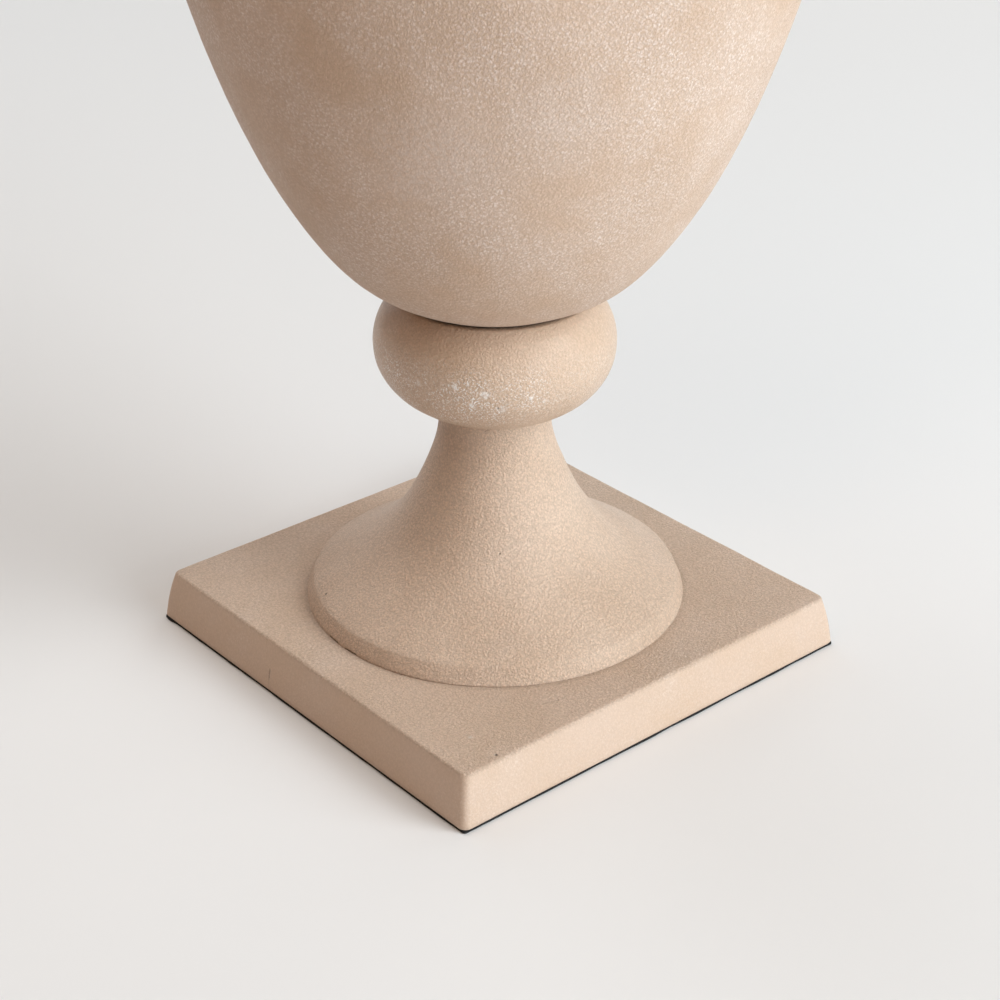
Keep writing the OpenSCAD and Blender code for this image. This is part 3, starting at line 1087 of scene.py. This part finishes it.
@dataclass
class Vessel:
    """The hollow egg-shaped vessel."""

    levels: Levels
    seat_radius: float = 28 * MM
    belly_radius: float = 101.3 * MM
    belly_rise: float = 179.2 * MM
    mouth_radius: float = 44 * MM
    socket: float = 36.1 * MM
    wall: float = 4 * MM
    floor_rise: float = 10.5 * MM
    bore: float = 4.5 * MM
    turns: int = 256

    def profile(self) -> np.ndarray:
        """The outer profile, from the seat up to the mouth."""
        seat, mouth = self.levels.seat, self.levels.mouth
        bowl = (64 * MM, seat + 35.3 * MM)
        belly = (self.belly_radius, seat + self.belly_rise)
        line = Outline((self.seat_radius, seat))
        line.curve((38.2 * MM, seat + 5.1 * MM), (bowl[0] - 17.1 * MM, bowl[1] - 28.5 * MM), bowl, 90)
        line.curve((bowl[0] + 18.7 * MM, bowl[1] + 31.1 * MM), (belly[0], belly[1] - 46.9 * MM), belly, 120)
        line.curve((belly[0], belly[1] + 36 * MM), (80 * MM, mouth - 10 * MM), (self.mouth_radius, mouth), 90)
        return np.array(line.points)

    def lining(self) -> np.ndarray:
        """The inner profile, one wall's thickness inside the outer one, from the floor up to the socket."""
        inner = inside(self.profile(), self.wall)
        floor = self.levels.seat + self.floor_rise
        return inner[(inner[:, 1] > floor) & (inner[:, 0] > self.socket)]

    def outline(self) -> np.ndarray:
        """The vessel's section, closed through its floor, with its edges softened."""
        seat, mouth = self.levels.seat, self.levels.mouth
        outer, inner = self.profile(), self.lining()
        line = Outline((self.bore, seat)).line(*outer, (self.socket, mouth))
        line.line((self.socket, inner[-1][1]), *inner[::-1])
        line.line((inner[0][0] - 2 * MM, seat + self.floor_rise), (self.bore, seat + self.floor_rise))
        return line.softened(0.9 * MM, 1.75 * MM)

    def build(self, skin: CastSkin) -> bpy.types.Object:
        """Builds the vessel.

        Args:
            skin: The casting's unevenness.

        Returns:
            The piece.
        """
        seat, mouth = self.levels.seat, self.levels.mouth
        bottom, top = (seat, seat + 4 * MM), (mouth - 3 * MM, mouth)
        return turned_casting("vessel_casting", self.outline(), self.turns, skin, bottom, top)


@dataclass
class Neck:
    """The neck, with a bead at its root and a rolled lip."""

    levels: Levels
    root_radius: float = 44 * MM
    waist_radius: float = 31 * MM
    waist_rise: float = 31 * MM
    lip_ring: float = 44 * MM
    lip: float = 5 * MM
    bead: float = 3.6 * MM
    bead_end_deg: float = 100
    bead_steps: int = 20
    wall: float = 4 * MM
    bore: float = 31.8 * MM
    turns: int = 260

    def outer(self) -> np.ndarray:
        """The outer profile from the vessel's mouth up to the lip's underside."""
        mouth = self.levels.mouth
        bead = (self.root_radius - 1.2 * MM, mouth + self.bead)
        waist = (self.waist_radius, mouth + self.waist_rise)
        under = on_circle((self.lip_ring, self.levels.top - self.lip), self.lip, -120)
        root = on_circle(bead, self.bead, self.bead_end_deg)
        line = Outline((self.root_radius, mouth))
        line.arc(bead, self.bead, -60, self.bead_end_deg, self.bead_steps)
        line.curve((root[0] - 8 * MM, root[1] + 2.6 * MM), (waist[0], waist[1] - 12 * MM), waist)
        line.curve((waist[0], waist[1] + 14 * MM), (under[0] - 5.6 * MM, under[1] - 9.2 * MM), under)
        return np.array(line.points)

    def outline(self) -> np.ndarray:
        """The neck's section, with its edges softened."""
        mouth, top = self.levels.mouth, self.levels.top
        outer = self.outer()
        past_bead = self.bead_steps + 2
        inner = inside(outer[past_bead:], self.wall)
        kept = [p for p in inner if p[1] > mouth + self.waist_rise or p[0] < self.bore]
        kept = [p for p in kept if p[0] < self.lip_ring - self.lip]
        line = Outline((self.bore, mouth)).line(*outer)
        line.arc((self.lip_ring, top - self.lip), self.lip, -116, 180, 60).line(*kept[::-1])
        return line.softened(0.7 * MM, 1.0 * MM)

    def build(self, skin: CastSkin) -> bpy.types.Object:
        """Builds the neck.

        Args:
            skin: The casting's unevenness.

        Returns:
            The piece.
        """
        mouth, lip = self.levels.mouth, self.levels.top
        bottom, top = (mouth, mouth + 1.5 * MM), (lip - 1 * MM, lip)
        return turned_casting("neck_casting", self.outline(), self.turns, skin, bottom, top)


@dataclass
class Handle:
    """One ear handle, from under the lip over to the vessel's shoulder.

    Attributes:
        levels: The castings' heights.
        neck: The neck that it starts from.
        vessel: The vessel that it ends on.
        name: The piece's name.
        right: Whether it stands on the +X side.
        start_at: Where its line starts inside the neck's wall, as (x, height above the mouth).
        elbow_at: The point that pulls the line outwards.
        end_at: Where the line ends inside the vessel's wall.
        pull: How far its first stretch runs on before it bends.
        rise: The slope of that stretch.
        run: About how long the line is.
        thick: The strap's thickness.
        wide: Its width.
        flare: How much it swells towards both ends.
        fillet: How much it swells right at a wall.
        fillet_span: How far from the wall that swelling reaches.
        bite: How far it goes into a wall.
        around: How many points its section has.
        rings: How many sections it has.
        fine: How many short stretches stand for its line.
    """

    levels: Levels
    neck: Neck
    vessel: Vessel
    name: str
    right: bool
    start_at: Point = (30 * MM, 47 * MM)
    elbow_at: Point = (90 * MM, 42 * MM)
    end_at: Point = (81 * MM, -26 * MM)
    pull: float = 35 * MM
    rise: float = math.radians(22)
    run: float = 115 * MM
    thick: float = 10 * MM
    wide: float = 17 * MM
    flare: float = 0.35
    fillet: float = 0.14
    fillet_span: float = 3 * MM
    bite: float = 1.2 * MM
    around: int = 44
    rings: int = 150
    fine: int = 600

    def stops(self) -> tuple[np.ndarray, np.ndarray, np.ndarray]:
        """The (x, z) points of the line's start, its elbow and its end."""
        start, elbow, end = (np.array((x, self.levels.mouth + above))
                             for x, above in (self.start_at, self.elbow_at, self.end_at))
        return start, elbow, end

    def first_heading(self) -> np.ndarray:
        """The (x, z) direction in which the line starts."""
        return np.array((math.cos(self.rise), math.sin(self.rise)))

    def line(self) -> np.ndarray:
        """The handle's line as (x, z) rows."""
        start, elbow, end = self.stops()
        pull = start + self.pull * self.first_heading()
        return np.array(Outline(tuple(start)).curve(tuple(pull), tuple(elbow), tuple(end), self.fine).points)

    def place(self, share: np.ndarray, angle: float, extra: np.ndarray | float = 0.0) -> np.ndarray:
        """Points along one side of the strap.

        Args:
            share: How far along the line each point is, from 0 to 1.
            angle: The point's direction round the section.
            extra: How much the section is swollen there, beyond its flare.

        Returns:
            One (x, y, z) row for each share.
        """
        line = self.line()
        grid = np.linspace(0, 1, len(line))
        x, z, dx, dz = (np.interp(share, grid, v) for v in (*line.T, *headings(line).T))
        swell = 1 + self.flare * np.abs(2 * share - 1) ** 4 + extra
        across = swell * self.thick / 2 * math.cos(angle)
        sideways = swell * self.wide / 2 * math.sin(angle) + 0 * x
        return np.stack([x - across * dz, sideways, z + across * dx], -1)

    def reach(self, angle: float) -> tuple[float, float]:
        """The shares of the line at which one side of the strap leaves the neck and enters the vessel."""
        share = np.linspace(0, 1, self.fine + 1)
        points = self.place(share, angle)
        radius = np.hypot(points[:, 0], points[:, 1])
        neck = self.neck.outer()
        neck = neck[neck[:, 1] > self.levels.mouth + 10 * MM]
        shell = self.vessel.profile()
        in_neck, in_vessel = (radius < np.interp(points[:, 2], wall[:, 1], wall[:, 0]) - self.bite
                              for wall in (neck, shell))
        leaves = np.nonzero(in_neck & (share < 0.5))[0]
        enters = np.nonzero(in_vessel & (share > 0.5))[0]
        return (share[leaves[-1]] if len(leaves) else 0.0, share[enters[0]] if len(enters) else 1.0)

    def build(self, skin: CastSkin) -> bpy.types.Object:
        """Builds the handle.

        Args:
            skin: The casting's unevenness.

        Returns:
            The piece.
        """
        columns = []
        share = np.linspace(0, 1, self.rings)
        near_end = (np.exp(-share * self.run / self.fillet_span)
                    + np.exp((share - 1) * self.run / self.fillet_span))
        for angle in np.linspace(0, 2 * math.pi, self.around, endpoint=False):
            first, last = self.reach(angle)
            columns.append(self.place(first + (last - first) * share, angle, self.fillet * near_end))
        vertices = np.stack(columns, 1).reshape(-1, 3)
        sides = woven(self.rings, self.around, closed=False)[:, ::-1]
        free = np.repeat(fade(share, 0, 0.05) * fade(-share, -1, -0.95), self.around)
        vertices = skin.pressed(vertices, sides, free)
        if not self.right:
            vertices = vertices * np.array((-1, -1, 1))
        return mesh_piece(self.name, vertices, capped(self.rings, self.around, flipped=True))


# ---------------------------------------------------------------------------------------------------------
# The hardware
# ---------------------------------------------------------------------------------------------------------


def turned_ring(node: str, name: str, inner: float, soft: float = 0.25 * MM) -> bpy.types.Object:
    """A washer or a seal, with rounded edges, in the box of its node.

    Args:
        node: The node.
        name: The piece's name.
        inner: The hole's radius.
        soft: How round its edges are.

    Returns:
        The piece.
    """
    low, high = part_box(node)
    line = Outline((inner, low.z)).line((high.x, low.z), (high.x, high.z), (inner, high.z))
    return mesh_piece(name, *lathed(line.softened(soft, 3 * MM, 16), 72))


def hex_nut(node: str, name: str, flats: float = 13 * MM, bore: float = 4 * MM, around: int = 96
            ) -> bpy.types.Object:
    """A hexagon nut with chamfered corners.

    Args:
        node: The node in whose box it stands.
        name: The piece's name.
        flats: Its width across the flats.
        bore: Its hole's radius.
        around: How many points each level has.

    Returns:
        The piece.
    """
    low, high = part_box(node)
    turns = np.linspace(0, 2 * math.pi, around, endpoint=False)
    hexagon = flats / 2 / np.cos(np.abs((turns % (math.pi / 3)) - math.pi / 6))
    tall = high.z - low.z
    cut = 1.1 * MM
    profile = [(0.0, bore + 0.5 * MM), (0.0, flats / 2 - 0.4 * MM)]
    profile += [(t, flats / 2 - 0.1 * MM + t * 1.5) for t in np.linspace(0.1 * MM, cut, 5)]
    profile += [(tall - t, r) for t, r in reversed(profile)]
    rings = [level_ring(np.minimum(hexagon, limit), turns, low.z + rise) for rise, limit in profile]
    rings += [level_ring(bore, turns, low.z + rise) for rise in (tall - 0.5 * MM, 0.5 * MM)]
    return mesh_piece(name, np.concatenate(rings), woven(len(rings), len(turns), closed=True))


def split_ring(node: str, name: str, inner: float = 4.1 * MM, slit: float = 1 * MM) -> bpy.types.Object:
    """A spring lock washer with its slit on the +X side.

    Args:
        node: The node in whose box it stands.
        name: The piece's name.
        inner: The hole's radius.
        slit: How wide the slit is.

    Returns:
        The piece.
    """
    low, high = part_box(node)
    outer = high.y
    section = Outline((inner, low.z)).line((outer, low.z), (outer, high.z), (inner, high.z))
    points = section.softened(0.25 * MM, 2 * MM, 20)
    gap = math.asin(slit / 2 / inner)
    turns = np.linspace(gap, 2 * math.pi - gap, 72)
    out, up = points.T
    rings = [np.stack([out * math.cos(turn), out * math.sin(turn), up], -1) for turn in turns]
    return mesh_piece(name, np.concatenate(rings), capped(len(rings), len(points), flipped=True))


def threaded_rod(node: str, name: str, pitch: float = 1.25 * MM, threaded: float = 24 * MM, around: int = 24
                 ) -> bpy.types.Object:
    """The tie rod, with a thread at both ends and a plain shank between them.

    Args:
        node: The node in whose box it stands.
        name: The piece's name.
        pitch: The thread's pitch.
        threaded: How long each threaded end is.
        around: How many points each level has.

    Returns:
        The piece.
    """
    low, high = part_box(node)
    radius, depth = high.x, 0.61 * pitch
    near, far = low.z, high.z
    step = pitch / 6
    shank = np.linspace(near + threaded, far - threaded, 12)
    upper = np.arange(far - threaded + step, far, step)
    heights = np.concatenate([np.arange(near, near + threaded, step), shank, upper, [far]])
    turns = np.linspace(0, 2 * math.pi, around, endpoint=False)
    rings = []
    for height in heights:
        wave = (height / pitch - turns / (2 * math.pi)) % 1
        groove = depth * (1 - np.abs(2 * wave - 1))
        ends = min(height - near, far - height)
        share = 1 - float(fade(ends, threaded - 1.5 * pitch, threaded))
        bevel = max(0.0, 0.9 * MM - ends)
        reach = np.minimum(radius - groove * share, radius - bevel)
        rings.append(level_ring(reach, turns, height))
    return mesh_piece(name, np.concatenate(rings), capped(len(rings), around))


def handle_pins(name: str, handle: Handle, radius: float = 2.5 * MM, length: float = 18 * MM,
                chamfer: float = 0.5 * MM, around: int = 24) -> bpy.types.Object:
    """The four pins that hold the handles, two to each, with chamfered ends.

    Args:
        name: The piece's name.
        handle: Either handle, for its line.
        radius: The pins' radius.
        length: Their length.
        chamfer: How far their ends are cut back.
        around: How many points each section has.

    Returns:
        The piece.
    """
    start_at, elbow, end_at = handle.stops()
    lean = elbow - end_at
    upper = (start_at, handle.first_heading(), -2.5 * MM)
    lower = (end_at, lean / np.linalg.norm(lean), 1.5 * MM)
    turns = np.linspace(0, 2 * math.pi, around, endpoint=False)
    sections = ((0, radius - chamfer), (chamfer, radius), (length - chamfer, radius),
                (length, radius - chamfer))
    vertices, faces = [], []
    for side in (1, -1):
        for foot, heading, start in (upper, lower):
            faces += capped(len(sections), around, flipped=True, base=len(vertices))
            for along, reach in sections:
                middle = foot + heading * (start + along)
                for t in turns:
                    out = reach * math.cos(t)
                    vertices.append((side * (middle[0] - out * heading[1]), side * reach * math.sin(t),
                                     middle[1] + out * heading[0]))
    return mesh_piece(name, np.array(vertices), faces)


# ---------------------------------------------------------------------------------------------------------
# The studio
# ---------------------------------------------------------------------------------------------------------


@dataclass(frozen=True)
class Softbox:
    """One square soft light.

    Attributes:
        name: Its name.
        azimuth: Its direction in degrees, measured from the camera's side, positive to the camera's right.
        elevation: Its height in degrees.
        power: Its power in watts.
        colour: Its colour.
        distance: How far it is from the vessel.
        side: Its side.
    """

    name: str
    azimuth: float
    elevation: float
    power: float
    colour: Colour = (1.0, 1.0, 1.0)
    distance: float = 1.8
    side: float = 0.9


COOL: Colour = (0.93, 0.97, 1.0)
PALE: Colour = (0.9, 0.95, 1.0)
WARM: Colour = (1.0, 0.92, 0.82)
AMBER: Colour = (1.0, 0.4, 0.1)


@dataclass
class Studio:
    """A pale floor, soft lights and the camera.

    Attributes:
        lamps: The lights.
        aim_height: The height on the axis that every light hangs about.
        camera_turn: The camera's direction round the axis.
        camera_distance: How far it stands from the axis.
        camera_height: Its height.
        camera_dip: How far it looks down.
        camera_pan: How far it looks to one side of the axis.
        lens: Its focal length, in millimetres.
        sensor: The width of its sensor, in millimetres.
        floor_side: The floor's side.
        glow: How strongly the world around it all shines.
    """

    lamps: tuple[Softbox, ...] = (
        Softbox("front_right_low", 45, 12, 13.4, (0.91, 0.965, 1.0)),
        Softbox("front_right", 45, 35, 3.7, (0.77, 0.92, 1.0)),
        Softbox("right_low", 70, 12, 11.3, (0.83, 0.93, 1.0)),
        Softbox("right", 70, 35, 17.8, COOL),
        Softbox("back_right", 125, 35, 2.6, COOL),
        Softbox("back_right_low", 160, 12, 5.7, (1.0, 0.98, 0.96)),
        Softbox("back_right_high", 160, 35, 1.3, WARM),
        Softbox("back_left_low", -150, 12, 2.2, PALE),
        Softbox("back_left", -150, 35, 3.7, COOL),
        Softbox("back_left_high", -150, 60, 3.7, PALE),
        Softbox("left", -110, 35, 2.4, WARM),
        Softbox("left_high", -110, 60, 4.85),
        Softbox("front_left_high", -40, 60, 3.0, WARM),
        Softbox("front_left", -40, 35, 1.5, AMBER),
        Softbox("front_low", -40, 12, 0.8, AMBER),
        Softbox("front", -10, 35, 0.9, AMBER),
        Softbox("front_high", -10, 60, 1.9, (1.0, 0.92, 0.75)),
    )
    aim_height: float = 0.1
    camera_turn: float = math.radians(-40.39)
    camera_distance: float = 603.0 * MM
    camera_height: float = 376.5 * MM
    camera_dip: float = math.radians(28.44)
    camera_pan: float = math.radians(-0.152)
    lens: float = 75.74
    sensor: float = 36.0
    floor_side: float = 12.0
    glow: float = 0.0

    def floor(self) -> None:
        """Lays the floor."""
        half = self.floor_side / 2
        corners = np.array([(-half, -half, 0), (half, -half, 0), (half, half, 0), (-half, half, 0)])
        piece = mesh_piece("studio_floor", corners, [(0, 1, 2, 3)], smooth=False)
        made, _, shader = new_material("studio_paper")
        shader.inputs["Base Color"].default_value = (0.8, 0.79, 0.78, 1)
        shader.inputs["Roughness"].default_value = 0.9
        piece.data.materials.append(made)

    def camera(self) -> None:
        """Sets the camera."""
        data = bpy.data.cameras.new("camera")
        data.sensor_width = self.sensor
        data.lens = self.lens
        data.clip_start = 0.01
        camera = bpy.data.objects.new("camera", data)
        turn = self.camera_turn
        camera.location = (self.camera_distance * math.sin(turn), -self.camera_distance * math.cos(turn),
                           self.camera_height)
        camera.rotation_euler = (math.pi / 2 - self.camera_dip, 0, turn + self.camera_pan)
        bpy.context.scene.collection.objects.link(camera)
        bpy.context.scene.camera = camera

    def hang(self, lamp: Softbox) -> None:
        """Hangs one soft light, turned towards the vessel.

        Args:
            lamp: The light.
        """
        data = bpy.data.lights.new(lamp.name, "AREA")
        data.shape, data.size, data.energy, data.color = "SQUARE", lamp.side, lamp.power, lamp.colour
        light = bpy.data.objects.new(lamp.name, data)
        turn, rise = self.camera_turn + math.radians(lamp.azimuth), math.radians(lamp.elevation)
        away = Vector((math.sin(turn) * math.cos(rise), -math.cos(turn) * math.cos(rise), math.sin(rise)))
        light.location = Vector((0, 0, self.aim_height)) + away * lamp.distance
        light.rotation_euler = away.to_track_quat("Z", "Y").to_euler()
        bpy.context.scene.collection.objects.link(light)

    def lights(self) -> None:
        """Hangs every light, and leaves the world around them dark."""
        for lamp in self.lamps:
            self.hang(lamp)
        world = bpy.data.worlds.new("glow")
        world.use_nodes = True
        background = world.node_tree.nodes["Background"].inputs
        background["Color"].default_value = (1, 1, 1, 1)
        background["Strength"].default_value = self.glow
        bpy.context.scene.world = world
        bpy.context.scene.view_settings.view_transform = "Standard"


def dress_castings(levels: Levels, effects: Effects) -> None:
    """Builds the castings, from the plinth up to the handles, each in its own coat.

    Args:
        levels: The castings' heights.
        effects: The shared node groups.
    """
    plinth = SandCoat("plinth_coat", base=(0.59, 0.441, 0.337), warm=(0.582, 0.424, 0.309), grain=0.95,
                      relief=0.28 * MM, calm_share=0.3, calm_height=17.8, cover=0.25, valley_shade=0.4,
                      spatter=(6.0, 16.0, 0.26), spatter_side=-60.0, spots=(Spot((-63, -62.9, 18.2), 1.0),),
                      scratches=(Scratch((-80.5, 18.6, 0.8), (-79.0, 18.2, 8.6), 0.5, 0.5),
                                 Scratch((-35.4, -63.6, 18.2), (-30.5, -65.2, 18.2), 0.45, 0.3)),
                      shaded_seams=(ShadedSeam(62.9, 18.2, 1.4, 0.12),))
    foot = SandCoat("foot_coat", base=(0.65, 0.49, 0.372), warm=(0.645, 0.469, 0.342), grain=0.9,
                    relief=0.33 * MM, cover=0.1, roughness=0.46, valley_shade=0.5,
                    pits=(spot_at(158, 57.7, 25.2, 0.5), spot_at(-127.6, 30.9, 47.4, 0.32),
                          spot_at(-131.5, 34.0, 44.2, 0.2, 0.6)),
                    scratches=(Scratch(around_axis(-141, 18.1, 83.6), around_axis(-137.5, 18.1, 84.4),
                                       0.35, 0.6),
                               Scratch(around_axis(172, 62.4, 18.6), around_axis(176, 62.4, 18.6), 0.5, 0.9),
                               Scratch(around_axis(180, 62.4, 18.5), around_axis(185, 62.4, 18.7), 0.4, 0.9)),
                    shaded_seams=(ShadedSeam(62.6, 18.2, 1.0, 0.12), ShadedSeam(17.9, 85.6, 1.2, 0.4)))
    knob = SandCoat("knob_coat", base=(0.62, 0.455, 0.335), warm=(0.61, 0.435, 0.305), grain=0.97,
                    relief=0.27 * MM, cover=0.12, roughness=0.42, gloss=0.4, lacquer=0.25, valley_shade=0.28,
                    wash=(0.88, 0.84, 0.8), spatter=(102.0, 16.0, 1.0),
                    spots=(spot_at(-148.5, 38.1, 107.8, 1.5), spot_at(-134.8, 38.0, 106, 1.8),
                           spot_at(-167.7, 38.0, 106.4, 1.6, 0.8), spot_at(-113.9, 37.8, 104.2, 1.0),
                           spot_at(-141, 37.6, 102, 1.4), spot_at(-127, 37.0, 100.5, 1.8, 0.8),
                           spot_at(-107, 37.6, 102, 0.9)),
                    pits=(spot_at(-129, 37.0, 101.3, 0.5), spot_at(-126, 30.2, 121.0, 0.7)),
                    shaded_seams=(ShadedSeam(28.2, 123.5, 2.6, 0.62), ShadedSeam(17.9, 85.6, 1.0, 0.4)))
    vessel = SandCoat("vessel_coat", base=(0.585, 0.424, 0.313), warm=(0.575, 0.408, 0.292),
                      wash=(0.76, 0.68, 0.64), grain=0.97, relief=0.22 * MM, cover=0.62, wash_weight=0.72,
                      wash_span=30, valley_shade=0.22, gloss=0.3, spatter=(127.0, 8.0, 0.5),
                      spots=(spot_at(-141, 80, 192, 26, 0.4), spot_at(-119, 84, 205, 22, 0.35)),
                      shaded_seams=(ShadedSeam(28.2, 123.5, 1.8, 0.5),))
    neck = SandCoat("neck_coat", grain=0.95, relief=0.2 * MM, cover=0.5, gloss=0.35)
    handle = SandCoat("handle_coat", grain=1.05, relief=0.22 * MM, cover=0.4, gloss=0.4)
    neck_part, vessel_part = Neck(levels), Vessel(levels)
    settle(Plinth(levels).build(CastSkin(seed=3.1)), "plinth", plinth.material(effects))
    settle(Foot(levels).build(CastSkin(seed=5.2)), "foot", foot.material(effects))
    settle(Knob(levels).build(CastSkin(seed=7.4)), "knob", knob.material(effects))
    settle(vessel_part.build(CastSkin(seed=9.3)), "body", vessel.material(effects))
    settle(neck_part.build(CastSkin(seed=11.6)), "neck", neck.material(effects))
    coat = handle.material(effects)
    left = Handle(levels, neck_part, vessel_part, "left_handle_casting", right=False)
    right = Handle(levels, neck_part, vessel_part, "right_handle_casting", right=True)
    settle(left.build(CastSkin(seed=13.7)), "handle_left", coat)
    settle(right.build(CastSkin(seed=15.9)), "handle_right", coat)


def dress_hardware(levels: Levels, effects: Effects) -> None:
    """Builds the pad, the tie rod with its nuts, washers and seal, and the handles' pins.

    Args:
        levels: The castings' heights.
        effects: The shared node groups.
    """
    foam = Plain("black_foam", (0.004, 0.004, 0.004), (0.012, 0.011, 0.01), 0.9, 0.5, 0.12 * MM)
    rubber = Plain("black_rubber", (0.015, 0.015, 0.015), (0.035, 0.034, 0.033), 0.7, 0.8, 0.03 * MM)
    steel = Plain("plated_steel", (0.5, 0.5, 0.49), (0.68, 0.68, 0.66), 0.38, 0.9, 0.01 * MM, metal=True)
    plated = steel.material(effects)
    clearance = 4.5 * MM
    settle(Pad(levels).build(), "base_pad", foam.material(effects))
    settle(threaded_rod("tie_rod", "tie_rod_m8"), "tie_rod", plated)
    settle(turned_ring("plinth_washer", "lower_washer", clearance), "plinth_washer", plated)
    settle(split_ring("plinth_lock_washer", "lower_lock_washer"), "plinth_lock_washer", plated)
    settle(hex_nut("plinth_nut", "lower_nut"), "plinth_nut", plated)
    settle(turned_ring("body_seal", "upper_seal", clearance), "body_seal", rubber.material(effects))
    settle(turned_ring("body_washer", "upper_washer", clearance), "body_washer", plated)
    settle(hex_nut("body_nut", "upper_nut"), "body_nut", plated)
    handle = Handle(levels, Neck(levels), Vessel(levels), "", right=True)
    settle(handle_pins("handle_pin_set", handle), "handle_pins", plated)


def main() -> None:
    levels = Levels()
    effects = Effects()
    dress_castings(levels, effects)
    dress_hardware(levels, effects)
    studio = Studio()
    studio.floor()
    studio.camera()
    studio.lights()


if __name__ == "__main__":
    main()
